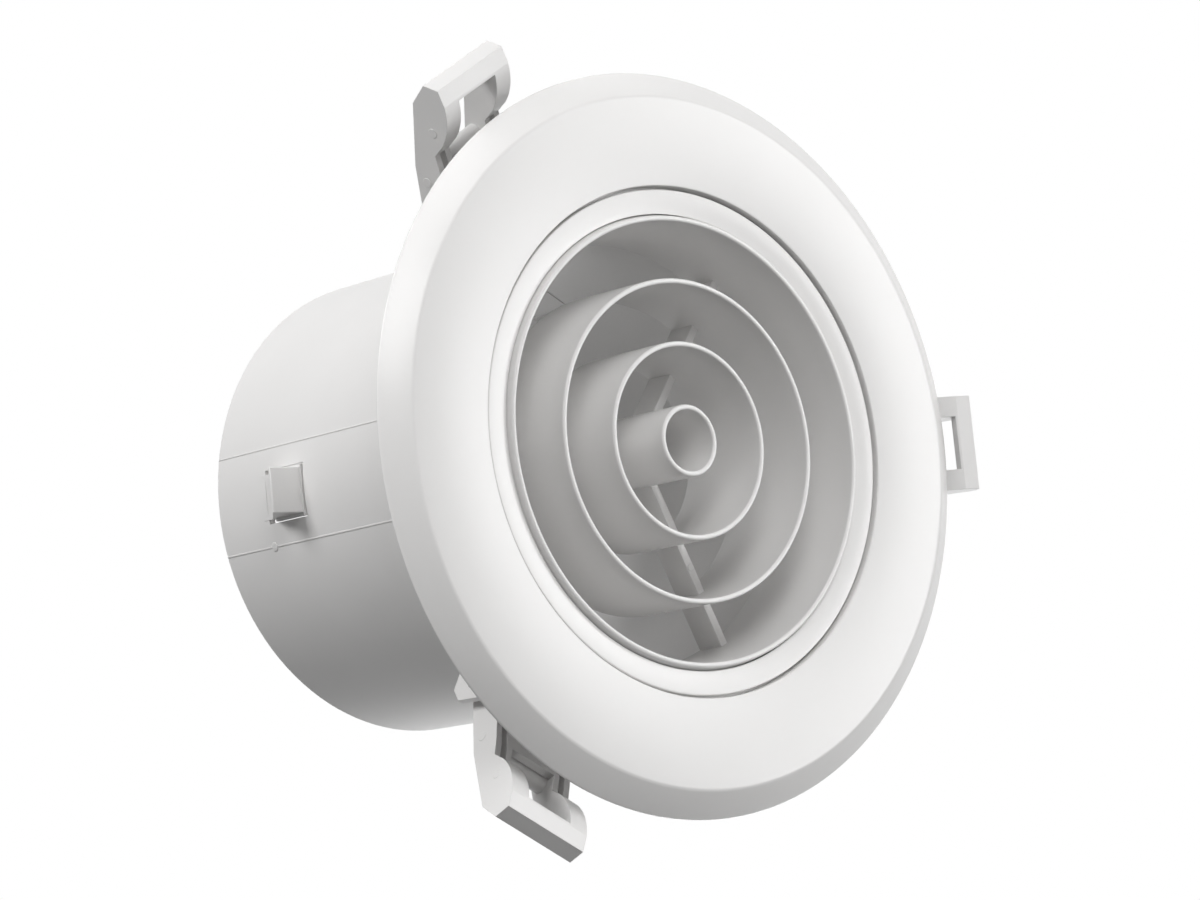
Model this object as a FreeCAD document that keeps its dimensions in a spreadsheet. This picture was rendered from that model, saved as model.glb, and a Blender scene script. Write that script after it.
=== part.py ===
"""Round ceiling air outlet for a 150 mm duct: a bevelled face flange with a swivelling,
tilting jet core, a duct collar with three snap fingers, and three sprung clips that
grip the ceiling board.

Heights in the sketches are depths behind the visible face, in mm, growing towards the duct.
Every body is then shifted so that the flange's back, where the ceiling lies, is at z = 0.
"""
import FreeCAD, Part
import os
import re
import Sketcher
from FreeCAD import Placement, Rotation, Vector

doc = FreeCAD.newDocument("ceiling_air_outlet")

# Sizes that are set by themselves. They are the cells of the sheet.
SIZES = {
    # duct collar
    "duct_radius": 74.8,
    "duct_wall": 2.2,
    "duct_length": 107.3,
    "collar_lap": 6.0,
    "collar_gap": 0.3,
    "mouth_room": 0.7,
    "finger_setback": 25.7,
    "finger_window_length": 20.0,
    "finger_window_width": 17.0,
    "finger_width": 14.4,
    "finger_inset": 0.25,
    "finger_toe": 0.4,
    "finger_rise": 2.4,
    "finger_head_length": 12.5,
    "finger_heel": 1.2,
    "finger_gap": 1.3,
    # face flange and the neck behind it
    "neck_step": 2.2,
    "seat_width": 2.4,
    "seat_depth": 4.2,
    "neck_setback": 1.5,
    "flange_wall": 2.4,
    "flange_depth": 6.5,
    "face_width": 28.1,
    "bevel_width": 8.5,
    "bevel_inset": 0.8,
    "lip_height": 0.6,
    "lip_width": 3.4,
    # swivel ring and its retainer
    "turn_gap": 0.4,
    "bezel_gap": 0.9,
    "bezel_depth": 1.2,
    "bezel_dish": 0.9,
    "skirt_wall": 2.4,
    "axial_play": 0.3,
    "retainer_lap": 1.5,
    "retainer_thickness": 3.0,
    # jet core: a ball zone with two rings and a centre tube on three blades
    "ball_room": 4.35,
    "ball_depth": 18.0,
    "ball_gap": 0.3,
    "core_front": 0.3,
    "core_tail": 16.5,
    "rim_wall": 1.55,
    "throat_taper": 1.6,
    "throat_depth": 20.7,
    "ring_wall": 1.65,
    "centre_tube": 11.2,
    "blade_wall": 3.0,
    "blade_depth": 10.5,
    "core_pin_radius": 2.5,
    "core_pin_hold": 2.35,
    "core_pin_recess": 0.2,
    "running_gap": 0.06,
    "press_gap": 0.02,
    # clips: the pivot, its pin and the bracket
    "clip_gap": 0.3,
    "pivot_inset": 5.4,
    "pivot_height": 33.0,
    "hinge_pin_radius": 2.0,
    "hinge_pin_stub": 0.8,
    "bracket_wall": 2.2,
    "bracket_depth": 10.9,
    "bracket_rise": 9.0,
    "bracket_corner": 4.0,
    "foot_step": 1.5,
    "stop_bar": 2.6,
    "stop_gap": 0.1,
    # clips: the arm, whose corners follow one another outwards from the pivot
    "arm_width": 30.8,
    "arm_wall": 2.2,
    "arm_side_room": 2.6,
    "hub_radius": 5.4,
    "hub_play": 0.3,
    "pad_wall": 1.7,
    "crook_reach": 18.2,
    "crook_drop": 14.1,
    "elbow_run": 5.3,
    "elbow_drop": 1.7,
    "shoulder_run": 1.9,
    "shoulder_drop": 4.9,
    "brow_run": 11.4,
    "brow_drop": 9.8,
    "brow_curve": 20.5,
    "tip_run": 5.4,
    "tip_drop": 0.8,
    "nose_run": 3.1,
    "nose_rise": 4.6,
    "heel_run": 3.9,
    "heel_rise": 8.0,
    "knee_reach": 22.7,
    "knee_drop": 5.4,
    "leg_room": 17.4,
    "tip_bar_inset": 0.8,
    "tip_bar_rise": 3.7,
    "tube_radius": 2.9,
    "tube_reach": 21.0,
    "tube_drop": 9.0,
    # clips: the torsion spring, whose leg rests on the arm's cross tube
    "spring_wire": 1.3,
    "spring_room": 0.6,
    "spring_coil_width": 13.0,
    "spring_leg_gap": 0.3,
}

# Sizes that follow from others, so that neighbouring pieces keep fitting.
FITS = {
    "neck_bore": "duct_radius + neck_step",
    "flange_inner": "neck_bore + seat_width",
    "neck_radius": "flange_inner + flange_wall",
    "face_radius": "flange_inner + face_width",
    "flange_radius": "face_radius + bevel_width",
    "core_back": "ball_depth + core_tail",
    "neck_end": "core_back - neck_setback",
    "mouth_bore": "neck_radius + collar_gap",
    "mouth_radius": "mouth_bore + duct_wall",
    "mouth_front": "neck_end - collar_lap",
    "mouth_floor": "retainer_back + mouth_room",
    "duct_bore": "duct_radius - duct_wall",
    "duct_end": "mouth_floor + duct_length",
    "finger_window_back": "duct_end - finger_setback",
    "finger_window_front": "finger_window_back - finger_window_length",
    "finger_head": "finger_window_front + finger_gap",
    "skirt_radius": "neck_bore - turn_gap",
    "skirt_bore": "skirt_radius - skirt_wall",
    "bezel_radius": "flange_inner - bezel_gap",
    "bezel_inner_depth": "bezel_depth + bezel_dish",
    "bezel_back": "seat_depth - axial_play",
    "retainer_front": "neck_end + axial_play",
    "retainer_back": "retainer_front + retainer_thickness",
    "retainer_radius": "neck_bore + retainer_lap",
    "ball_radius": "skirt_radius - ball_room",
    "socket_radius": "ball_radius + ball_gap",
    "rim_front": "sqrt(ball_radius ^ 2 - (ball_depth - core_front) ^ 2)",
    "rim_back": "sqrt(ball_radius ^ 2 - core_tail ^ 2)",
    "rim_mouth": "rim_front - rim_wall",
    "throat": "rim_mouth - throat_taper",
    "air_gap": "(rim_mouth - centre_tube - 2 * ring_wall) / 3",
    "inner_ring": "centre_tube + air_gap + ring_wall",
    "middle_ring": "inner_ring + air_gap + ring_wall",
    "blade_front": "core_back - blade_depth",
    "core_pin_inner": "ball_radius - core_pin_hold",
    "core_pin_outer": "skirt_radius - core_pin_recess",
    "core_pin_bore_start": "core_pin_inner - ball_gap",
    "bracket_back": "mouth_radius + clip_gap",
    "bracket_reach": "bracket_back + bracket_depth",
    "bracket_floor": "flange_wall + bracket_wall",
    "bracket_top": "pivot_depth + bracket_rise",
    "bracket_inside": "arm_width + 2 * arm_side_room",
    "bracket_width": "bracket_inside + 2 * bracket_wall",
    "pivot_radius": "bracket_back + pivot_inset",
    "pivot_depth": "flange_depth + pivot_height",
    "hinge_pin_length": "bracket_width + 2 * hinge_pin_stub",
    "hub_width": "bracket_inside - 2 * hub_play",
    "pad_half": "hinge_pin_radius + pad_wall",
    "root_back_x": "pivot_radius + hub_radius * cos(60)",
    "root_back_z": "pivot_depth + hub_radius * sin(60)",
    "root_front_x": "pivot_radius - hub_radius * cos(65)",
    "root_front_z": "pivot_depth - hub_radius * sin(65)",
    "crook_x": "pivot_radius + crook_reach",
    "crook_z": "pivot_depth - crook_drop",
    "elbow_x": "crook_x + elbow_run",
    "elbow_z": "crook_z - elbow_drop",
    "shoulder_x": "elbow_x + shoulder_run",
    "shoulder_z": "elbow_z - shoulder_drop",
    "brow_x": "shoulder_x + brow_run",
    "brow_z": "shoulder_z - brow_drop",
    "tip_x": "brow_x + tip_run",
    "tip_z": "brow_z - tip_drop",
    "nose_x": "tip_x + nose_run",
    "nose_z": "tip_z + nose_rise",
    "heel_x": "nose_x - heel_run",
    "heel_z": "nose_z + heel_rise",
    "arm_slope": "(root_front_z - crook_z) / (crook_x - root_front_x)",
    "stop_top": "root_front_z - (bracket_reach - root_front_x) * arm_slope - stop_gap",
    "coil_bore": "hinge_pin_radius + spring_room",
    "coil_radius": "coil_bore + spring_wire",
    "tip_bar_back": "nose_z + tip_bar_rise",
    "tip_bar_inner": "nose_x - arm_wall - heel_run * tip_bar_rise / heel_rise",
    "tube_x": "pivot_radius + tube_reach",
    "tube_z": "pivot_depth - tube_drop",
    "leg_floor": "tube_z + tube_radius + spring_leg_gap",
}

SPOKE_TURN = 66.2
FINGER_TURN = 60.0
CLIP_TURNS = (0.0, 120.0, -120.0)

sheet = doc.addObject("Spreadsheet::Sheet", "Sizes")
for number, (alias, value) in enumerate(SIZES.items(), start=1):
    sheet.set("A%d" % number, alias)
    sheet.set("B%d" % number, str(value))
    sheet.setAlias("B%d" % number, alias)
doc.recompute()


def sized(text):
    """Turn a formula in plain size names into one that reads only the sheet."""
    def spell(match):
        word = match.group()
        if word in FITS:
            return "(%s)" % sized(FITS[word])
        return "Sizes." + word if word in SIZES else word
    return re.sub(r"[a-z_]+", spell, text)


def value_of(text):
    return float(sheet.evalExpression(sized(text)))


def new_body(label, turn=0.0):
    """A body measured from the face, turned about the axis and set on the ceiling plane."""
    body = doc.addObject("PartDesign::Body", label)
    body.Label = label
    body.Placement = Placement(Vector(0, 0, 0), Rotation(Vector(0, 0, 1), turn))
    body.setExpression("Placement.Base.z", sized("-flange_depth"))
    return body


def new_sketch(body, plane, name):
    sketch = body.newObject("Sketcher::SketchObject", name)
    origin_plane = next(f for f in body.Origin.OriginFeatures if f.Role == plane + "_Plane")
    sketch.AttachmentSupport = [(origin_plane, "")]
    sketch.MapMode = "FlatFace"
    return sketch


def hold_point(sketch, edge, end, formulas):
    """Fix one point of a sketch at two formulas, measured from the origin."""
    for kind, formula in zip(("DistanceX", "DistanceY"), formulas):
        if formula == "0":
            axis = -2 if kind == "DistanceX" else -1
            sketch.addConstraint(Sketcher.Constraint("PointOnObject", edge, end, axis))
            continue
        rule = Sketcher.Constraint(kind, -1, 1, edge, end, value_of(formula))
        index = sketch.addConstraint(rule)
        sketch.setExpression("Constraints[%d]" % index, sized(formula))


def draw_outline(sketch, corners, arcs=None):
    """Close an outline through the corners. arcs maps a corner's number to the radius of the
    arc that leaves it, with a minus sign where the arc runs clockwise."""
    arcs = arcs or {}
    points = [Vector(value_of(x), value_of(y), 0) for x, y in corners]
    ends = []
    for i, start in enumerate(points):
        finish = points[(i + 1) % len(points)]
        if i not in arcs:
            edge = sketch.addGeometry(Part.LineSegment(start, finish))
            ends.append((edge, 1, 2))
            continue
        radius_text = arcs[i].lstrip("-")
        clockwise = arcs[i].startswith("-")
        radius = value_of(radius_text)
        chord = finish - start
        side = Vector(-chord.y, chord.x, 0).normalize() * (-1 if clockwise else 1)
        centre = start + chord * 0.5 + side * (radius ** 2 - chord.Length ** 2 / 4) ** 0.5
        first, last = (finish, start) if clockwise else (start, finish)
        circle = Part.Circle(centre, Vector(0, 0, 1), radius)
        arc = Part.ArcOfCircle(circle, circle.parameter(first), circle.parameter(last))
        edge = sketch.addGeometry(arc)
        ends.append((edge, 2, 1) if clockwise else (edge, 1, 2))
        index = sketch.addConstraint(Sketcher.Constraint("Radius", edge, radius))
        sketch.setExpression("Constraints[%d]" % index, sized(radius_text))
    for i, (edge, start, finish) in enumerate(ends):
        after = ends[(i + 1) % len(ends)]
        sketch.addConstraint(Sketcher.Constraint("Coincident", edge, finish, after[0], after[1]))
        hold_point(sketch, edge, start, corners[i])


def draw_circle(sketch, centre, radius):
    spot = Vector(value_of(centre[0]), value_of(centre[1]), 0)
    edge = sketch.addGeometry(Part.Circle(spot, Vector(0, 0, 1), value_of(radius)))
    index = sketch.addConstraint(Sketcher.Constraint("Radius", edge, value_of(radius)))
    sketch.setExpression("Constraints[%d]" % index, sized(radius))
    hold_point(sketch, edge, 3, centre)


def box_corners(left, right, low, high):
    return [(left, low), (right, low), (right, high), (left, high)]


def revolve(body, name, corners, arcs=None):
    sketch = new_sketch(body, "XZ", name + "_sketch")
    draw_outline(sketch, corners, arcs)
    feature = body.newObject("PartDesign::Revolution", name)
    feature.Profile = (sketch, [""])
    feature.ReferenceAxis = (sketch, ["V_Axis"])
    feature.Angle = 360
    doc.recompute()
    return feature


def extrude(body, name, kind, sketch, width):
    """Pad or Pocket a sketch evenly to both sides of its plane."""
    feature = body.newObject("PartDesign::" + kind, name)
    feature.Profile = (sketch, [""])
    feature.SideType = "Symmetric"
    feature.setExpression("Length", sized(width))
    doc.recompute()
    return feature


def across(body, name, kind, corners, width, arcs=None):
    """Pad or Pocket an outline drawn in the upright plane through the axis."""
    sketch = new_sketch(body, "XZ", name + "_sketch")
    draw_outline(sketch, corners, arcs)
    return extrude(body, name, kind, sketch, width)


def across_circle(body, name, kind, centre, radius, width):
    sketch = new_sketch(body, "XZ", name + "_sketch")
    draw_circle(sketch, centre, radius)
    return extrude(body, name, kind, sketch, width)


def pocket_one_way(body, name, plane, corners, length):
    """Pocket an outline from a plane through the origin towards its positive side."""
    sketch = new_sketch(body, plane, name + "_sketch")
    draw_outline(sketch, corners)
    feature = body.newObject("PartDesign::Pocket", name)
    feature.Profile = (sketch, [""])
    feature.Reversed = True
    feature.setExpression("Length", sized(length))
    doc.recompute()
    return feature


def repeat_round(body, name, features, count):
    """Repeat features evenly about the outlet's axis."""
    axis = next(f for f in body.Origin.OriginFeatures if f.Role == "Z_Axis")
    pattern = body.newObject("PartDesign::PolarPattern", name)
    pattern.Originals = features
    pattern.Axis = (axis, [""])
    pattern.Angle = 360
    pattern.Occurrences = count
    body.Tip = pattern
    doc.recompute()
    return pattern


def make_flange():
    """Bevelled face ring with a hollow back and the neck that holds the swivel ring."""
    body = new_body("ceiling_flange")
    revolve(body, "flange_section", [
        ("flange_inner", "0"),
        ("face_radius", "0"),
        ("flange_radius", "flange_depth - lip_height"),
        ("flange_radius", "flange_depth"),
        ("flange_radius - lip_width", "flange_depth"),
        ("face_radius - bevel_inset", "flange_wall"),
        ("neck_radius", "flange_wall"),
        ("neck_radius", "neck_end"),
        ("neck_bore", "neck_end"),
        ("neck_bore", "seat_depth"),
        ("flange_inner", "seat_depth"),
    ])
    return body


def make_collar():
    """Duct spigot: a tube whose mouth fits over the neck, with three snap fingers cut free
    in its wall."""
    body = new_body("duct_collar", FINGER_TURN)
    revolve(body, "collar_section", [
        ("mouth_bore", "mouth_front"),
        ("mouth_radius", "mouth_front"),
        ("mouth_radius", "mouth_floor + duct_wall"),
        ("duct_radius", "mouth_floor + duct_wall"),
        ("duct_radius", "duct_end"),
        ("duct_bore", "duct_end"),
        ("duct_bore", "mouth_floor"),
        ("mouth_bore", "mouth_floor"),
    ])
    half = "finger_window_width / 2"
    window = pocket_one_way(body, "finger_window", "YZ", box_corners(
        "-" + half, half, "finger_window_front", "finger_window_back"), "2 * duct_radius")
    inner = "duct_bore + finger_inset"
    outer = "duct_radius - finger_inset"
    finger = across(body, "finger", "Pad", [
        (inner, "finger_head"),
        ("duct_radius + finger_toe", "finger_head"),
        ("duct_radius + finger_rise", "finger_head + finger_head_length"),
        (outer, "finger_head + finger_head_length + finger_heel"),
        (outer, "finger_window_back + duct_wall"),
        (inner, "finger_window_back + duct_wall"),
    ], "finger_width")
    repeat_round(body, "fingers", [window, finger], 3)
    return body


def make_swivel_ring():
    """Dished bezel with a skirt behind it that turns in the neck and carries the core."""
    body = new_body("swivel_ring", SPOKE_TURN)
    rise = "(ball_depth - bezel_inner_depth)"
    revolve(body, "ring_section", [
        ("sqrt(socket_radius ^ 2 - %s ^ 2)" % rise, "bezel_inner_depth"),
        ("bezel_radius", "bezel_depth"),
        ("bezel_radius", "bezel_back"),
        ("skirt_radius", "bezel_back"),
        ("skirt_radius", "retainer_front"),
        ("skirt_bore", "retainer_front"),
        ("skirt_bore", "ball_depth"),
    ])
    across_circle(body, "pin_holes", "Pocket", ("0", "ball_depth"),
                  "core_pin_radius + press_gap", "2 * neck_bore")
    return body


def make_retainer():
    """Ring behind the neck's end that keeps the swivel ring in place."""
    body = new_body("ring_retainer")
    lip = "sqrt(socket_radius ^ 2 - (%s - ball_depth) ^ 2)"
    revolve(body, "retainer_section", [
        (lip % "retainer_front", "retainer_front"),
        ("retainer_radius", "retainer_front"),
        ("retainer_radius", "retainer_back"),
        (lip % "retainer_back", "retainer_back"),
    ])
    return body


def make_core():
    """Ball zone with a tapered throat, two rings and a centre tube on three blades."""
    body = new_body("jet_core", SPOKE_TURN)
    revolve(body, "rim_section", [
        ("rim_mouth", "core_front"),
        ("rim_front", "core_front"),
        ("rim_back", "core_back"),
        ("throat", "core_back"),
        ("throat", "throat_depth"),
    ], {1: "ball_radius"})
    blade = across(body, "blade", "Pad", box_corners(
        "centre_tube - ring_wall / 2", "throat + ring_wall / 2", "blade_front", "core_back"),
        "blade_wall")
    repeat_round(body, "blades", [blade], 3)
    for name in ("middle_ring", "inner_ring", "centre_tube"):
        revolve(body, name + "_section", box_corners(
            name + " - ring_wall", name, "core_front", "core_back"))
    for start in ("core_pin_bore_start", "-core_pin_bore_start - ball_radius"):
        bore = body.newObject("PartDesign::SubtractiveCylinder", "pin_bore")
        plane = next(f for f in body.Origin.OriginFeatures if f.Role == "XZ_Plane")
        bore.AttachmentSupport = [(plane, "")]
        bore.MapMode = "FlatFace"
        bore.setExpression("Radius", sized("core_pin_radius + running_gap"))
        bore.setExpression("Height", sized("ball_radius"))
        bore.setExpression("AttachmentOffset.Base.y", sized("ball_depth"))
        bore.setExpression("AttachmentOffset.Base.z", sized(start))
        doc.recompute()
    return body


def make_pin(label, radius, length):
    """Straight pin, standing on its own axis."""
    body = doc.addObject("PartDesign::Body", label)
    body.Label = label
    revolve(body, "pin_section", box_corners("0", radius, "0", length))
    return body


def make_core_pins():
    """Two pins through the swivel ring's wall, on which the core tilts."""
    for number, turn in ((1, -90), (2, 90)):
        pin = make_pin("core_pivot_pin_%d" % number, "core_pin_radius",
                       "core_pin_outer - core_pin_inner")
        outwards = Rotation(Vector(0, 0, 1), SPOKE_TURN + turn)
        spot = outwards.multVec(Vector(value_of("core_pin_inner"), 0, 0))
        spot.z = value_of("ball_depth - flange_depth")
        pin.Placement = Placement(spot, outwards * Rotation(Vector(0, 1, 0), 90))


def make_bracket(number, turn):
    """U-shaped cheek bracket that stands on the flange's back beside the neck."""
    body = new_body("clip_bracket_%d" % number, turn)
    across(body, "bracket_block", "Pad", [
        ("bracket_back", "flange_wall"),
        ("bracket_reach + foot_step", "flange_wall"),
        ("bracket_reach + foot_step", "bracket_floor"),
        ("bracket_reach", "bracket_floor + bracket_wall"),
        ("bracket_reach", "bracket_top - bracket_corner"),
        ("bracket_reach - bracket_corner", "bracket_top"),
        ("bracket_back", "bracket_top"),
    ], "bracket_width")
    across(body, "bracket_channel", "Pocket", box_corners(
        "bracket_back + bracket_wall", "2 * bracket_reach", "bracket_floor", "2 * bracket_top"),
        "bracket_inside")
    across(body, "hub_room", "Pocket", box_corners(
        "bracket_back - bracket_wall", "bracket_reach", "stop_top", "2 * bracket_top"),
        "bracket_inside")
    across(body, "stop", "Pad", box_corners(
        "bracket_reach - stop_bar", "bracket_reach", "stop_top - stop_bar", "stop_top"),
        "bracket_inside + bracket_wall")
    across_circle(body, "pin_holes", "Pocket", ("pivot_radius", "pivot_depth"),
                  "hinge_pin_radius + press_gap", "2 * bracket_width")
    return body


def make_arm(number, turn):
    """Sprung U-shaped arm: two hollow legs joined by a bar at the tip and by a cross tube."""
    body = new_body("clip_arm_%d" % number, turn)
    beyond = "pivot_depth + 2 * hub_radius"
    behind = "bracket_back - hub_radius"
    outline = [
        ("tip_x", "tip_z"),
        ("nose_x", "nose_z"),
        ("heel_x", "heel_z"),
        ("pivot_radius + knee_reach", "pivot_depth - knee_drop"),
        ("root_back_x", "root_back_z"),
        ("root_front_x", "root_front_z"),
        ("crook_x", "crook_z"),
        ("elbow_x", "elbow_z"),
        ("shoulder_x", "shoulder_z"),
        ("brow_x", "brow_z"),
    ]
    across(body, "arm_block", "Pad", outline, "arm_width", {4: "hub_radius", 8: "brow_curve"})
    across(body, "hub_pads", "Pad", box_corners(
        "pivot_radius - pad_half", "pivot_radius + pad_half",
        "pivot_depth - pad_half", "pivot_depth + pad_half"), "hub_width")
    across(body, "arm_hollow", "Pocket", [
        ("tip_x - arm_wall / 2", "tip_z + arm_wall"),
        ("nose_x - arm_wall", "nose_z"),
        ("heel_x - arm_wall", "heel_z"),
        ("heel_x - arm_wall", beyond),
        (behind, beyond),
        (behind, "crook_z"),
        ("elbow_x - arm_wall", "elbow_z - arm_wall"),
        ("elbow_x", "elbow_z"),
        ("elbow_x + arm_wall", "elbow_z"),
        ("shoulder_x + arm_wall", "shoulder_z"),
        ("brow_x", "brow_z + arm_wall"),
    ], "arm_width - 2 * arm_wall", {9: "brow_curve - arm_wall"})
    inner_outline = outline[:5] + [
        ("root_back_x - hub_radius", "root_back_z"),
        ("pivot_radius - hub_radius", "pivot_depth"),
    ] + outline[5:]
    across(body, "inner_legs", "Pad", inner_outline, "leg_room + 2 * arm_wall",
           {10: "brow_curve"})
    across(body, "leg_gap", "Pocket", [
        ("brow_x - tip_bar_inset", "0"),
        ("brow_x - tip_bar_inset", "brow_z + arm_wall"),
        ("tip_x - arm_wall / 2", "tip_z + arm_wall"),
        ("nose_x - arm_wall", "nose_z"),
        ("tip_bar_inner", "tip_bar_back"),
        ("nose_x + arm_wall", "tip_bar_back"),
        ("nose_x + arm_wall", beyond),
        (behind, beyond),
        (behind, "0"),
    ], "leg_room")
    across_circle(body, "cross_tube", "Pad", ("tube_x", "tube_z"), "tube_radius",
                  "leg_room + arm_wall")
    across_circle(body, "hinge_bore", "Pocket", ("pivot_radius", "pivot_depth"),
                  "hinge_pin_radius + running_gap", "2 * hub_width")
    return body


def make_hinge_pin(number, turn):
    """Steel pin through the bracket's two cheeks and the arm."""
    pin = make_pin("clip_hinge_pin_%d" % number, "hinge_pin_radius", "hinge_pin_length")
    about = Rotation(Vector(0, 0, 1), turn)
    spot = about.multVec(Vector(value_of("pivot_radius"), value_of("hinge_pin_length / 2"), 0))
    spot.z = value_of("pivot_depth - flange_depth")
    pin.Placement = Placement(spot, about * Rotation(Vector(1, 0, 0), 90))


def make_spring(number, turn):
    """Torsion spring about the hinge pin, with one leg on the arm and one on the bracket."""
    body = new_body("clip_spring_%d" % number, turn)
    hub = ("pivot_radius", "pivot_depth")
    across_circle(body, "coil", "Pad", hub, "coil_radius", "spring_coil_width")
    across(body, "arm_leg", "Pad", [
        ("pivot_radius", "pivot_depth + coil_bore"),
        ("tube_x - tube_radius", "leg_floor"),
        ("tube_x + tube_radius", "leg_floor"),
        ("tube_x + tube_radius", "leg_floor + spring_wire"),
        ("tube_x - tube_radius", "leg_floor + spring_wire"),
        ("pivot_radius", "pivot_depth + coil_radius"),
    ], "spring_wire")
    back = "bracket_back + bracket_wall"
    across(body, "bracket_leg", "Pad", box_corners(
        back, back + " + spring_wire", "stop_top - spring_wire", "pivot_depth - coil_bore"),
        "spring_wire")
    across_circle(body, "coil_bore", "Pocket", hub, "coil_bore", "2 * spring_coil_width")
    return body


make_flange()
make_collar()
make_swivel_ring()
make_retainer()
make_core()
make_core_pins()
for clip_number, clip_turn in enumerate(CLIP_TURNS, start=1):
    make_bracket(clip_number, clip_turn)
    make_arm(clip_number, clip_turn)
    make_hinge_pin(clip_number, clip_turn)
    make_spring(clip_number, clip_turn)
doc.recompute()

bodies = [item for item in doc.Objects if item.TypeId == "PartDesign::Body"]
for item in doc.Objects:
    if {"Invalid", "Error"} & set(item.State):
        raise RuntimeError("%s failed: %s" % (item.Label, item.State))
for body in bodies:
    if body.Shape.isNull() or not body.Shape.isValid() or len(body.Shape.Solids) != 1:
        raise RuntimeError("%s is not one valid solid" % body.Label)
os.makedirs("parts", exist_ok=True)
for body in bodies:
    body.Shape.exportStep(os.path.join("parts", body.Label + ".step"))
    print("%-20s %9.0f mm3" % (body.Label, body.Shape.Volume))
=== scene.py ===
# Round ceiling air outlet, face down as it hangs: +Z runs up into the duct.
# The part's lengths are given in mm, with depths measured from the visible face, and MM turns
# them into metres. The camera's and the studio's lengths are in metres.
import math

import bpy
from mathutils import Euler, Matrix, Vector


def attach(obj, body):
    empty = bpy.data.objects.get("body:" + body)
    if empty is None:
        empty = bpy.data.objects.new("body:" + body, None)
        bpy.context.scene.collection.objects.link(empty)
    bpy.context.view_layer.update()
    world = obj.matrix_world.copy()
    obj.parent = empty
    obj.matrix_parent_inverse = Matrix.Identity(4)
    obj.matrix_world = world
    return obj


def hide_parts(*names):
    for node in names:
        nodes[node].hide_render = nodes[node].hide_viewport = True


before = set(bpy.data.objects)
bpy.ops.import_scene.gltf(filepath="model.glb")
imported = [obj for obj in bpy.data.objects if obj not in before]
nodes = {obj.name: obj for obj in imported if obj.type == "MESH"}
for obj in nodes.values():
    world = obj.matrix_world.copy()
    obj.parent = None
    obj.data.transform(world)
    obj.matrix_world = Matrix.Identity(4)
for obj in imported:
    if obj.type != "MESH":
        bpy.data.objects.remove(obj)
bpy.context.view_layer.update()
MM = 0.001


# Ceiling flange
# One injection-moulded ABS ring: a flat face with a crisp edge, a bevel down to a thin lip,
# and the neck behind it. The tool is polished, so the face has a soft, even sheen.
CEILING_DEPTH = 6.5
SEAT_RADIUS, SEAT_DEPTH = 79.4, 4.2
FACE_RADIUS, FACE_WALL = 107.5, 2.4
LIP_OUTSIDE, LIP_INSIDE, BEVEL_DEPTH = 116, 112.6, 5.9
HOLLOW_RADIUS = 106.7
NECK_INSIDE, NECK_OUTSIDE, NECK_BACK = 77, 81.8, 33

TOUCHING = 1e-6
ABS_IOR = 1.53
CLOUD_MM, SMEAR_MM = 35, 30
SHADED_EDGE_MM = 0.25
GRAIN_STRENGTH = 0.35
MIX_SHARE, MIX_FIRST, MIX_SECOND, MIX_RESULT = 0, 6, 7, 2


def linear(hex_colour):
    """An sRGB hex colour as linear RGBA."""
    values = [int(hex_colour[i:i + 2], 16) / 255 for i in (1, 3, 5)]
    return tuple(v / 12.92 if v <= 0.04045 else ((v + 0.055) / 1.055) ** 2.4 for v in values) + (1.0,)


def add_node(tree, kind, inputs=None, **settings):
    """Add a node, set its properties, and fill its inputs with values or other nodes' outputs."""
    node = tree.nodes.new(kind)
    for name, value in settings.items():
        setattr(node, name, value)
    for socket, value in (inputs or {}).items():
        if isinstance(value, bpy.types.NodeSocket):
            tree.links.new(value, node.inputs[socket])
        else:
            node.inputs[socket].default_value = value
    return node


def moulded_abs(name, light, shade, rough_low, rough_high, grain_mm, grain_height_mm):
    """White ABS as moulded: faint cloudiness in the colour, and a sheen broken by the tool's
    fine finish, whose grain is drawn a little coarser than the real one so that it shows."""
    material = bpy.data.materials.new(name)
    material.use_nodes = True
    tree = material.node_tree
    surface = tree.nodes["Principled BSDF"]
    surface.inputs["IOR"].default_value = ABS_IOR
    place = add_node(tree, "ShaderNodeTexCoord")
    cloud = add_node(tree, "ShaderNodeTexNoise", {
        "Vector": place.outputs["Object"], "Scale": 1 / (CLOUD_MM * MM), "Detail": 3.0})
    tint = add_node(tree, "ShaderNodeMix", {
        MIX_SHARE: cloud.outputs["Fac"], MIX_FIRST: linear(shade), MIX_SECOND: linear(light)},
        data_type="RGBA")
    tree.links.new(tint.outputs[MIX_RESULT], surface.inputs["Base Color"])
    smear = add_node(tree, "ShaderNodeTexNoise", {
        "Vector": place.outputs["Object"], "Scale": 1 / (SMEAR_MM * MM), "Detail": 1.0})
    rough = add_node(tree, "ShaderNodeMapRange", {
        "Value": smear.outputs["Fac"], "To Min": rough_low, "To Max": rough_high})
    tree.links.new(rough.outputs["Result"], surface.inputs["Roughness"])
    grain = add_node(tree, "ShaderNodeTexNoise", {
        "Vector": place.outputs["Object"], "Scale": 1 / (grain_mm * MM), "Detail": 2.0})
    edge = add_node(tree, "ShaderNodeBevel", {"Radius": SHADED_EDGE_MM * MM}, samples=4)
    bump = add_node(tree, "ShaderNodeBump", {
        "Height": grain.outputs["Fac"], "Strength": GRAIN_STRENGTH, "Distance": grain_height_mm * MM,
        "Normal": edge.outputs["Normal"]})
    tree.links.new(bump.outputs["Normal"], surface.inputs["Normal"])
    return material


def spot(reach, sideways, depth):
    """A place in metres, from its reach out of the axis, its offset to the side of the first
    clip's middle plane and its depth behind the visible face."""
    return Vector((reach * MM, sideways * MM, (depth - CEILING_DEPTH) * MM))


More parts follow.
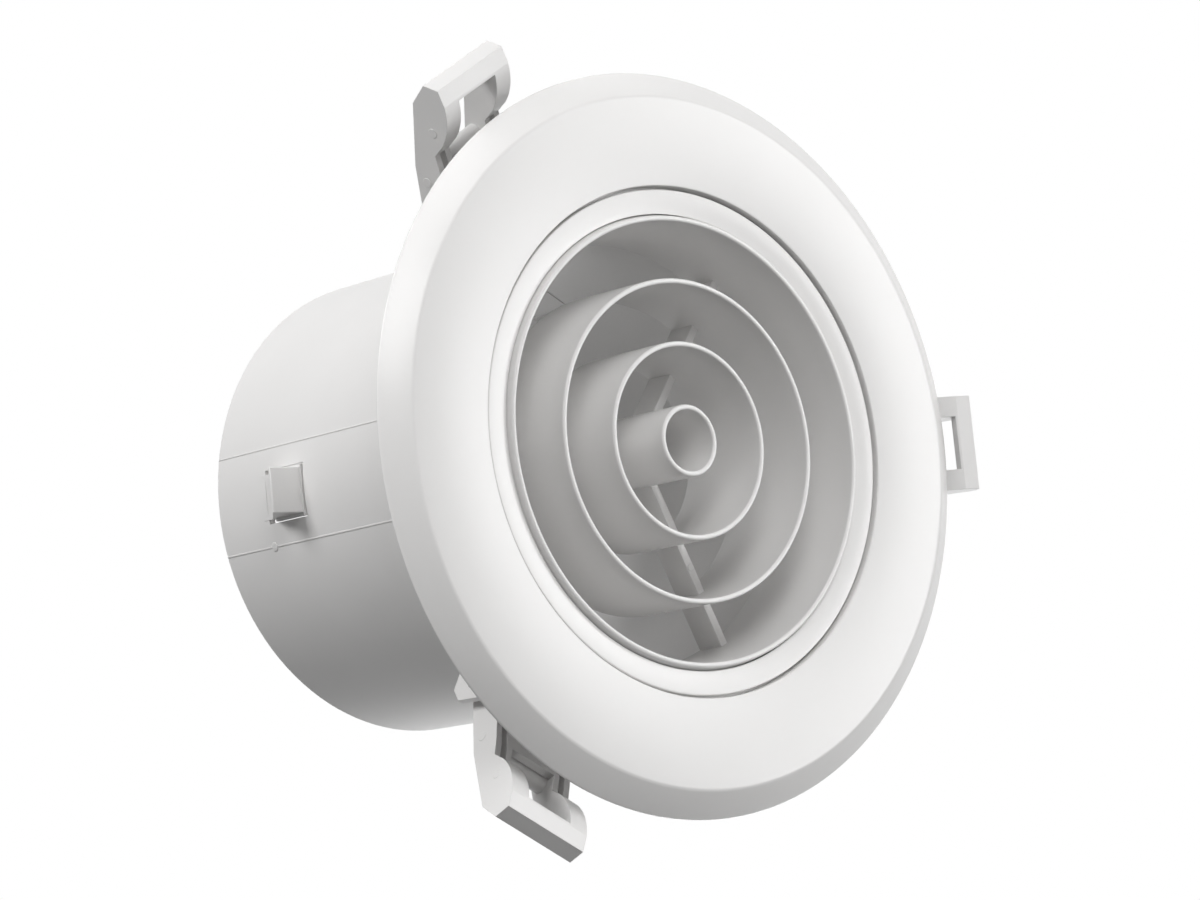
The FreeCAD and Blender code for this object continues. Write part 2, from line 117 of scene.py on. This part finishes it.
def add_finish(piece, name, material, body, stands_for=()):
    """Name a finished piece, fix its place in its mesh, and hang it on its body. It takes the
    place of the CAD nodes that it stands for."""
    bpy.ops.object.select_all(action="DESELECT")
    piece.select_set(True)
    bpy.context.view_layer.objects.active = piece
    bpy.ops.object.transform_apply(location=True, rotation=True, scale=True)
    bpy.ops.object.shade_smooth_by_angle(angle=math.radians(30))
    piece.name = name
    piece.data.name = name
    piece.data.materials.clear()
    piece.data.materials.append(material)
    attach(piece, body)
    if stands_for:
        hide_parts(*stands_for)


def pick_vertices(piece, wanted):
    """Choose only the vertices whose place passes the test, by way of object mode."""
    bpy.ops.mesh.select_all(action="DESELECT")
    bpy.ops.object.mode_set(mode="OBJECT")
    for vertex in piece.data.vertices:
        vertex.select = wanted(vertex.co)
    bpy.ops.object.mode_set(mode="EDIT")


def turn_outline(corners, steps=216):
    """Turn a closed outline about the axis. Each corner is its radius, its depth and how far
    the tool rounds it, where 0 leaves it sharp."""
    bpy.ops.object.select_all(action="DESELECT")
    bpy.ops.mesh.primitive_circle_add(vertices=len(corners), fill_type="NOTHING")
    piece = bpy.context.object
    spots = [spot(radius, 0, depth) for radius, depth, rounding in corners]
    for vertex, corner_spot in zip(piece.data.vertices, spots):
        vertex.co = corner_spot
    bpy.context.tool_settings.mesh_select_mode = (True, False, False)
    bpy.ops.object.mode_set(mode="EDIT")
    for corner_spot, (radius, depth, rounding) in zip(spots, corners):
        if rounding:
            pick_vertices(piece, lambda place: (place - corner_spot).length < TOUCHING)
            bpy.ops.mesh.bevel(offset=rounding * MM, segments=4, affect="VERTICES")
    bpy.ops.mesh.select_all(action="SELECT")
    bpy.ops.mesh.spin(steps=steps, angle=2 * math.pi, center=(0, 0, 0), axis=(0, 0, 1))
    bpy.ops.mesh.select_all(action="SELECT")
    bpy.ops.mesh.remove_doubles(threshold=TOUCHING)
    bpy.ops.mesh.normals_make_consistent(inside=False)
    bpy.ops.object.mode_set(mode="OBJECT")
    return piece


face_abs = moulded_abs("polished_moulded_abs", "#EDECEB", "#EAE9E8", 0.24, 0.28, 0.9, 0.012)
flange = turn_outline([
    (SEAT_RADIUS, 0, 0.35), (FACE_RADIUS, 0, 0.7), (LIP_OUTSIDE, BEVEL_DEPTH, 0.35),
    (LIP_OUTSIDE, CEILING_DEPTH, 0.2), (LIP_INSIDE, CEILING_DEPTH, 0.3),
    (HOLLOW_RADIUS, FACE_WALL, 1.2), (NECK_OUTSIDE, FACE_WALL, 0.8), (NECK_OUTSIDE, NECK_BACK, 0.3),
    (NECK_INSIDE, NECK_BACK, 0.3), (NECK_INSIDE, SEAT_DEPTH, 0), (SEAT_RADIUS, SEAT_DEPTH, 0)])
add_finish(flange, "ceiling_flange_moulding", face_abs, "housing", ["ceiling_flange"])

# Duct collar
# A plain moulded tube behind the neck, in the same ABS with a duller tool finish. Its mould
# parts on both sides of each snap finger and leaves a fine raised line there along the tube.
FINGER_TURNS = (60, 180, 300)
MARK_RADIUS = 74.7
LINE_ANGLE = 12.1
LINE_FRONT, LINE_BACK = 44.0, 144.3
LINE_RISE, LINE_WIDTH = 0.5, 0.55
GATE_ANGLE, GATE_DEPTH = 167.9, 118.7
GATE_RADIUS, GATE_THICKNESS = 1.5, 0.6
UPRIGHT, POINTS_OUT, POINTS_SIDEWAYS = (0, 0, 0), (0, math.pi / 2, 0), (math.pi / 2, 0, 0)


def dress(name, material):
    """Give a CAD node its finish."""
    node = nodes[name]
    node.data.materials.clear()
    node.data.materials.append(material)


def soften_edges(piece, width, segments):
    """Round the sharp edges of the piece drawn last."""
    edge = piece.modifiers.new("soft_edges", "BEVEL")
    edge.width = width * MM
    edge.segments = segments
    edge.limit_method = "ANGLE"
    edge.angle_limit = math.radians(30)
    bpy.ops.object.modifier_apply(modifier=edge.name)


def draw_bar(size, place, rounding):
    """A small box with rounded edges, centred on a spot."""
    bpy.ops.object.select_all(action="DESELECT")
    bpy.ops.mesh.primitive_cube_add(size=1, location=place)
    bar = bpy.context.object
    bar.scale = [length * MM for length in size]
    bpy.ops.object.transform_apply(location=True, rotation=True, scale=True)
    soften_edges(bar, rounding, 2)
    return bar


def draw_rod(radius, length, place, direction, sides, rounding, segments):
    """A round rod with softened ends, centred on a spot. A short one is a raised mark."""
    bpy.ops.object.select_all(action="DESELECT")
    bpy.ops.mesh.primitive_cylinder_add(
        vertices=sides, radius=radius * MM, depth=length * MM, location=place, rotation=direction)
    rod = bpy.context.object
    bpy.ops.object.transform_apply(location=True, rotation=True, scale=True)
    soften_edges(rod, rounding, segments)
    return rod


def copy_turned(piece, angle):
    """A copy with its own mesh, turned about the outlet's axis by an angle in degrees."""
    copy = bpy.data.objects.new(piece.name, piece.data.copy())
    bpy.context.scene.collection.objects.link(copy)
    copy.data.transform(Matrix.Rotation(math.radians(angle), 4, "Z"))
    return copy


def join_pieces(pieces):
    """Join pieces into the first one."""
    bpy.ops.object.select_all(action="DESELECT")
    for piece in pieces:
        piece.select_set(True)
    bpy.context.view_layer.objects.active = pieces[0]
    bpy.ops.object.join()
    return pieces[0]


collar_abs = moulded_abs("satin_moulded_abs", "#EAE9E8", "#E4E3E2", 0.32, 0.42, 0.7, 0.03)
dress("duct_collar", collar_abs)
line = draw_bar((LINE_RISE, LINE_WIDTH, LINE_BACK - LINE_FRONT),
                spot(MARK_RADIUS, 0, (LINE_FRONT + LINE_BACK) / 2), 0.12)
lines = [copy_turned(line, finger + side * LINE_ANGLE) for finger in FINGER_TURNS for side in (-1, 1)]
add_finish(join_pieces(lines), "collar_parting_lines", collar_abs, "housing")
gate = draw_rod(GATE_RADIUS, GATE_THICKNESS, spot(MARK_RADIUS, 0, GATE_DEPTH), POINTS_OUT, 32, 0.15, 2)
add_finish(copy_turned(gate, GATE_ANGLE), "collar_gate_mark", collar_abs, "housing")
for piece in (line, gate):
    bpy.data.objects.remove(piece)

# Snap lugs
# The head of each snap finger: a tall wedge whose ramp lets the duct slide on and whose flat
# face then holds it. Its foot widens over the two slots, so little of them shows.
LUG_HALF_WIDTH = 7.2
LUG_PROFILE = [(73.4, 100.0), (86.2, 100.0), (86.2, 100.9), (74.7, 116.4), (73.4, 116.4)]
FOOT_HALF_WIDTH = 8.1
FOOT_PROFILE = [(73.2, 99.6), (74.75, 99.6), (74.75, 114.6), (73.2, 114.6)]


def draw_plate(corners, width, middle=0.0):
    """A plate drawn in the upright plane through the first clip, with its corners given as
    radius and depth, then drawn out sideways to its width about its middle."""
    bpy.ops.object.select_all(action="DESELECT")
    bpy.ops.mesh.primitive_circle_add(vertices=len(corners), fill_type="NGON")
    plate = bpy.context.object
    for vertex, (radius, depth) in zip(plate.data.vertices, corners):
        vertex.co = spot(radius, middle - width / 2, depth)
    bpy.ops.object.mode_set(mode="EDIT")
    bpy.ops.mesh.select_all(action="SELECT")
    bpy.ops.mesh.extrude_region_move(TRANSFORM_OT_translate={"value": (0, width * MM, 0)})
    bpy.ops.mesh.select_all(action="SELECT")
    bpy.ops.mesh.normals_make_consistent(inside=False)
    bpy.ops.object.mode_set(mode="OBJECT")
    return plate


lug = draw_plate(LUG_PROFILE, 2 * LUG_HALF_WIDTH)
soften_edges(lug, 0.35, 3)
lug = join_pieces([lug, draw_plate(FOOT_PROFILE, 2 * FOOT_HALF_WIDTH)])
for number, finger in enumerate(FINGER_TURNS, start=1):
    add_finish(copy_turned(lug, finger), "snap_lug_%d" % number, collar_abs, "housing")
bpy.data.objects.remove(lug)

# Swivel ring and retainer
# The dished bezel turns in the flange and has a skirt in the neck, whose end meets a plain
# retaining ring. The core's ball sits between the two with room all round in the skirt.
BEZEL_INSIDE, BEZEL_OUTSIDE = 70.79, 78.5
BEZEL_INNER_DEPTH, BEZEL_OUTER_DEPTH, BEZEL_BACK = 2.1, 1.2, 3.9
SKIRT_INSIDE, SKIRT_OUTSIDE, SKIRT_BACK = 74.2, 76.6, 33.3
CONE_DEPTH = 18

swivel = turn_outline([
    (BEZEL_INSIDE, BEZEL_INNER_DEPTH, 0.3), (BEZEL_OUTSIDE, BEZEL_OUTER_DEPTH, 0.5),
    (BEZEL_OUTSIDE, BEZEL_BACK, 0.2), (SKIRT_OUTSIDE, BEZEL_BACK, 0), (SKIRT_OUTSIDE, SKIRT_BACK, 0.3),
    (SKIRT_INSIDE, SKIRT_BACK, 0.3), (SKIRT_INSIDE, CONE_DEPTH, 0)])
add_finish(swivel, "swivel_ring_moulding", face_abs, "swivel", ["swivel_ring"])
dress("ring_retainer", collar_abs)

# Jet core
# The ball-shaped rim, two rings and a centre tube on three blades, all in one moulding with
# polished walls and soft front edges. Two steel pins let it tilt.
BALL_RADIUS, BALL_DEPTH = 72.25, 18.0
BALL_STEPS = (5, 10, 14, 18, 22, 26, 30)
CORE_FRONT, CORE_BACK = 0.3, 34.5
MOUTH_RADIUS, THROAT_RADIUS, THROAT_DEPTH = 68.5, 66.9, 20.7
FRONT_ROUNDING, BACK_ROUNDING = 0.6, 0.3
RINGS = (("jet_core_middle_ring", 50.5), ("jet_core_inner_ring", 30.85), ("jet_core_centre_tube", 11.2))
RING_WALL = 1.65
BLADE_INSIDE, BLADE_OUTSIDE = 10.45, 67.75
BLADE_FRONT, BLADE_THICKNESS = 24.0, 3.0
BLADE_TURNS = (66.2, 186.2, 306.2)
DOT_REACH, DOT_RADIUS, DOT_THICKNESS = 40.0, 1.2, 0.4
STEEL_GRAIN_MM = 0.6


def on_ball(depth, rounding=0):
    """A corner on the rim's ball."""
    return (math.sqrt(BALL_RADIUS ** 2 - (depth - BALL_DEPTH) ** 2), depth, rounding)


core_abs = moulded_abs("core_moulded_abs", "#EDECEB", "#E9E8E7", 0.22, 0.28, 0.8, 0.012)
rim = turn_outline(
    [(MOUTH_RADIUS, CORE_FRONT, FRONT_ROUNDING), on_ball(CORE_FRONT, FRONT_ROUNDING)]
    + [on_ball(depth) for depth in BALL_STEPS]
    + [on_ball(CORE_BACK, BACK_ROUNDING), (THROAT_RADIUS, CORE_BACK, BACK_ROUNDING),
       (THROAT_RADIUS, THROAT_DEPTH, 0)])
add_finish(rim, "jet_core_rim", core_abs, "core", ["jet_core"])
for name, outer in RINGS:
    inner = outer - RING_WALL
    ring = turn_outline([
        (inner, CORE_FRONT, FRONT_ROUNDING), (outer, CORE_FRONT, FRONT_ROUNDING),
        (outer, CORE_BACK, BACK_ROUNDING), (inner, CORE_BACK, BACK_ROUNDING)], 144)
    add_finish(ring, name, core_abs, "core")
blade = draw_bar((BLADE_OUTSIDE - BLADE_INSIDE, BLADE_THICKNESS, CORE_BACK - BLADE_FRONT),
                 spot((BLADE_INSIDE + BLADE_OUTSIDE) / 2, 0, (BLADE_FRONT + CORE_BACK) / 2), 0.5)
dot = draw_rod(DOT_RADIUS, DOT_THICKNESS, spot(DOT_REACH, 0, BLADE_FRONT), UPRIGHT, 24, 0.1, 1)
blade = join_pieces([blade, dot])
for number, turn in enumerate(BLADE_TURNS, start=1):
    add_finish(copy_turned(blade, turn), "jet_core_blade_%d" % number, core_abs, "core")
bpy.data.objects.remove(blade)


def drawn_steel(name, colour, roughness):
    """Cold-drawn steel: bright, with a fine unevenness in its tone and its gloss."""
    material = bpy.data.materials.new(name)
    material.use_nodes = True
    tree = material.node_tree
    surface = tree.nodes["Principled BSDF"]
    surface.inputs["Metallic"].default_value = 1.0
    place = add_node(tree, "ShaderNodeTexCoord")
    grain = add_node(tree, "ShaderNodeTexNoise", {
        "Vector": place.outputs["Object"], "Scale": 1 / (STEEL_GRAIN_MM * MM), "Detail": 3.0})
    tint = add_node(tree, "ShaderNodeMix", {
        MIX_SHARE: grain.outputs["Fac"], MIX_FIRST: linear("#8C8C8B"), MIX_SECOND: linear(colour)},
        data_type="RGBA")
    tree.links.new(tint.outputs[MIX_RESULT], surface.inputs["Base Color"])
    rough = add_node(tree, "ShaderNodeMapRange", {
        "Value": grain.outputs["Fac"], "To Min": roughness - 0.06, "To Max": roughness + 0.1})
    tree.links.new(rough.outputs["Result"], surface.inputs["Roughness"])
    return material


pin_steel = drawn_steel("drawn_steel_pin", "#C9C9C7", 0.3)
for number in (1, 2):
    dress("core_pivot_pin_%d" % number, pin_steel)

# Clips
# Each clip is a bracket beside the neck, a U-shaped arm, a steel hinge pin and a wound
# torsion spring whose leg presses on the arm's cross tube.
CLIP_TURNS = (0, 120, -120)
PIVOT_REACH, PIVOT_DEPTH = 90, 39.5
PIVOT = spot(PIVOT_REACH, 0, PIVOT_DEPTH)
PIN_RADIUS, PIN_LENGTH = 2.0, 42.0
WIRE_RADIUS, COIL_RADIUS, COIL_WIDTH = 0.65, 3.25, 11.4
COIL_TURNS, STEPS_PER_TURN = 8.25, 20
LEG_DEPTH, TUBE_FRONT, TUBE_BACK = 34.35, 107.6, 114.6
LEG_ON_ARM = [(TUBE_FRONT - PIVOT_REACH, 0, LEG_DEPTH - PIVOT_DEPTH - COIL_RADIUS),
              (TUBE_BACK - TUBE_FRONT, 0, 0)]
LEG_IN_BRACKET = [(0.7, 0, -3.0), (0, 0, -8.5)]
CHEEK_SIDE = 15.3
EJECTOR_SPOTS = ((120.5, 19.5), (106.5, 33.0))
EJECTOR_RADIUS, EJECTOR_THICKNESS = 1.6, 0.4
WEB_WIDTH, WEB_STRIP = 17.6, 2.8
WEB_ROOT, SLOT_ROOT = [(92.5, 34.9), (92.5, 32.45)], [(100.5, 28.85), (100.5, 31.3)]
SLOT_TIP, WEB_TIP = [(104.0, 29.75), (104.0, 27.3)], [(108.2, 25.4), (109.6, 27.3)]
HOOK_REACH, HOOK_DEPTH, HOOK_LENGTH = 102.1, 28.4, 13.0


def wind_spring():
    """Wind the coil from its arm end, then draw a leg out of each end and close it."""
    bpy.ops.object.select_all(action="DESELECT")
    bpy.ops.mesh.primitive_circle_add(vertices=12, radius=WIRE_RADIUS * MM, fill_type="NGON",
                                      location=PIVOT, rotation=POINTS_OUT)
    spring = bpy.context.object
    bpy.ops.object.transform_apply(location=False, rotation=True, scale=True)
    start = Vector((0, COIL_WIDTH / 2, COIL_RADIUS)) * MM
    spring.data.transform(Matrix.Translation(start))
    wind = spring.modifiers.new("wind", "SCREW")
    wind.axis = "Y"
    wind.angle = -2 * math.pi * COIL_TURNS
    wind.screw_offset = -COIL_WIDTH * MM
    wind.steps = int(COIL_TURNS * STEPS_PER_TURN)
    wind.render_steps = wind.steps
    wind.use_merge_vertices = True
    bpy.ops.object.modifier_apply(modifier=wind.name)
    finish = Vector((-COIL_RADIUS, -COIL_WIDTH / 2, 0)) * MM
    bpy.context.tool_settings.mesh_select_mode = (True, False, False)
    bpy.ops.object.mode_set(mode="EDIT")
    for end, axis, leg in ((start, 0, LEG_ON_ARM), (finish, 2, LEG_IN_BRACKET)):
        pick_vertices(spring, lambda place: (place - end).length < (WIRE_RADIUS + 0.02) * MM
                      and abs(place[axis] - end[axis]) < 0.05 * MM)
        for move in leg:
            bpy.ops.mesh.extrude_region_move(
                TRANSFORM_OT_translate={"value": [length * MM for length in move]})
        bpy.ops.mesh.edge_face_add()
    bpy.ops.mesh.select_all(action="SELECT")
    bpy.ops.mesh.remove_doubles(threshold=TOUCHING)
    bpy.ops.mesh.normals_make_consistent(inside=False)
    bpy.ops.object.mode_set(mode="OBJECT")
    bpy.ops.object.transform_apply(location=True, rotation=True, scale=True)
    return spring


def draw_ejector_marks():
    """Round marks that the ejector pins leave on both cheeks of an arm."""
    return join_pieces([
        draw_rod(EJECTOR_RADIUS, EJECTOR_THICKNESS, spot(reach, side * CHEEK_SIDE, depth),
                 POINTS_SIDEWAYS, 32, 0.09, 1)
        for reach, depth in EJECTOR_SPOTS for side in (-1, 1)])


def draw_web():
    """The web that joins an arm's legs in front of the spring, with a slot across it."""
    strip_side = (WEB_WIDTH - WEB_STRIP) / 2
    return join_pieces([
        draw_plate(SLOT_TIP + WEB_TIP, WEB_WIDTH), draw_plate(WEB_ROOT + SLOT_ROOT, WEB_WIDTH),
        draw_plate(WEB_ROOT + WEB_TIP, WEB_STRIP, strip_side),
        draw_plate(WEB_ROOT + WEB_TIP, WEB_STRIP, -strip_side)])


clip_abs = moulded_abs("clip_moulded_abs", "#EAE9E8", "#E3E2E1", 0.30, 0.42, 0.6, 0.03)
spring_steel = drawn_steel("spring_wire_steel", "#B5B5B3", 0.25)
first_spring, first_marks, first_web = wind_spring(), draw_ejector_marks(), draw_web()
first_pin = draw_rod(PIN_RADIUS, PIN_LENGTH, PIVOT, POINTS_SIDEWAYS, 48, 0.35, 3)
# The spring's end is bent across and held in the web's slot, so it moves with the arm.
first_hook = draw_rod(WIRE_RADIUS, HOOK_LENGTH, spot(HOOK_REACH, 0, HOOK_DEPTH),
                      POINTS_SIDEWAYS, 16, 0.15, 3)
for number, turn in enumerate(CLIP_TURNS, start=1):
    arm_body = "clip_%d" % number
    add_finish(copy_turned(first_spring, turn), "clip_spring_%d_wound" % number, spring_steel,
               "housing", ["clip_spring_%d" % number])
    add_finish(copy_turned(first_pin, turn), "clip_hinge_pin_%d_drawn" % number, pin_steel,
               "housing", ["clip_hinge_pin_%d" % number])
    add_finish(copy_turned(first_marks, turn), "clip_arm_%d_ejector_marks" % number, clip_abs, arm_body)
    add_finish(copy_turned(first_web, turn), "clip_arm_%d_web" % number, clip_abs, arm_body)
    add_finish(copy_turned(first_hook, turn), "clip_spring_%d_hook" % number, spring_steel, arm_body)
    dress("clip_arm_%d" % number, clip_abs)
    dress("clip_bracket_%d" % number, clip_abs)
for piece in (first_spring, first_pin, first_marks, first_web, first_hook):
    bpy.data.objects.remove(piece)

# Camera
# It looks up at the face from below and to one side, about 1.3 m away through a long lens.
# Its place and turn were solved from the circles seen in the photograph.
camera_data = bpy.data.cameras.new("camera")
camera_data.lens = 129.0
camera_data.sensor_width = 36.0
camera_data.clip_start = 0.05
camera_data.clip_end = 30.0
camera = bpy.data.objects.new("camera", camera_data)
camera.location = (-0.88095, 0.14414, -0.97578)
camera.rotation_euler = Euler([math.radians(angle) for angle in (-168.7376, 40.1445, 7.66)])
bpy.context.scene.collection.objects.link(camera)
bpy.context.scene.camera = camera

# Studio
# A pale floor well below the camera, a white surround, and broad soft lamps. Floor and
# surround look bright, while nearly all the light on the part comes from the lamps.
FLOOR_DROP, FLOOR_SIZE = 1.9, 14
PAPER = linear("#F2F2F2")
PAPER_GLOW = 0.9
WHITE = (1, 1, 1, 1)
SURROUND_LIGHT = 0.03


def seen_directly(tree):
    """1 for a ray from the camera, a glossy surface or a clear one, and 0 for any other, so
    that what it switches on is seen or mirrored without lighting the part."""
    path = add_node(tree, "ShaderNodeLightPath")
    seen = add_node(tree, "ShaderNodeMath", {
        0: path.outputs["Is Camera Ray"], 1: path.outputs["Is Glossy Ray"]}, operation="MAXIMUM")
    seen = add_node(tree, "ShaderNodeMath", {
        0: seen.outputs[0], 1: path.outputs["Is Transmission Ray"]}, operation="MAXIMUM")
    return seen.outputs[0]


def add_lamp(name, side, distance, size, power):
    """A square soft lamp that faces the part from a side given as the camera sees it
    (right, up, towards the camera), at a distance and of a size in metres, in watts."""
    data = bpy.data.lights.new(name, "AREA")
    data.size = size
    data.energy = power
    lamp = bpy.data.objects.new(name, data)
    lamp.location = camera.rotation_euler.to_matrix() @ (Vector(side).normalized() * distance)
    lamp.rotation_euler = (-lamp.location).to_track_quat("-Z", "Y").to_euler()
    bpy.context.scene.collection.objects.link(lamp)


bpy.ops.object.select_all(action="DESELECT")
bpy.ops.mesh.primitive_plane_add(size=FLOOR_SIZE, location=(0, 0, -FLOOR_DROP))
floor = bpy.context.object
floor.name = "studio_floor"
paper = bpy.data.materials.new("pale_floor_paper")
paper.use_nodes = True
tree = paper.node_tree
surface = tree.nodes["Principled BSDF"]
surface.inputs["Base Color"].default_value = PAPER
surface.inputs["Roughness"].default_value = 0.9
pale = add_node(tree, "ShaderNodeEmission", {"Color": PAPER, "Strength": 1.0})
share = add_node(tree, "ShaderNodeMath", {0: seen_directly(tree), 1: PAPER_GLOW}, operation="MULTIPLY")
blend = add_node(tree, "ShaderNodeMixShader", {
    0: share.outputs[0], 1: surface.outputs[0], 2: pale.outputs[0]})
tree.links.new(blend.outputs[0], tree.nodes["Material Output"].inputs["Surface"])
floor.data.materials.append(paper)

add_lamp("right_softbox", (0.95, 0.22, 0.12), 2.5, 1.8, 55)
add_lamp("top_softbox", (0.1, 0.9, 0.36), 2.5, 1.2, 12)
add_lamp("upper_front_softbox", (0.1, 0.6, 0.8), 2.3, 1.0, 17)
add_lamp("left_softbox", (-0.75, 0.55, 0.35), 2.5, 1.0, 39)
add_lamp("low_softbox", (-0.38, -0.9, -0.22), 2.5, 1.4, 2)
add_lamp("back_softbox", (0.2, -0.68, -0.71), 2.5, 1.4, 20)

world = bpy.data.worlds.new("white_surround")
world.use_nodes = True
tree = world.node_tree
tree.nodes.clear()
soft = add_node(tree, "ShaderNodeBackground", {"Color": WHITE, "Strength": SURROUND_LIGHT})
white = add_node(tree, "ShaderNodeBackground", {"Color": WHITE, "Strength": 1.0})
mixed = add_node(tree, "ShaderNodeMixShader", {
    0: seen_directly(tree), 1: soft.outputs[0], 2: white.outputs[0]})
add_node(tree, "ShaderNodeOutputWorld", {"Surface": mixed.outputs[0]})
bpy.context.scene.world = world
bpy.context.scene.view_settings.view_transform = "Standard"
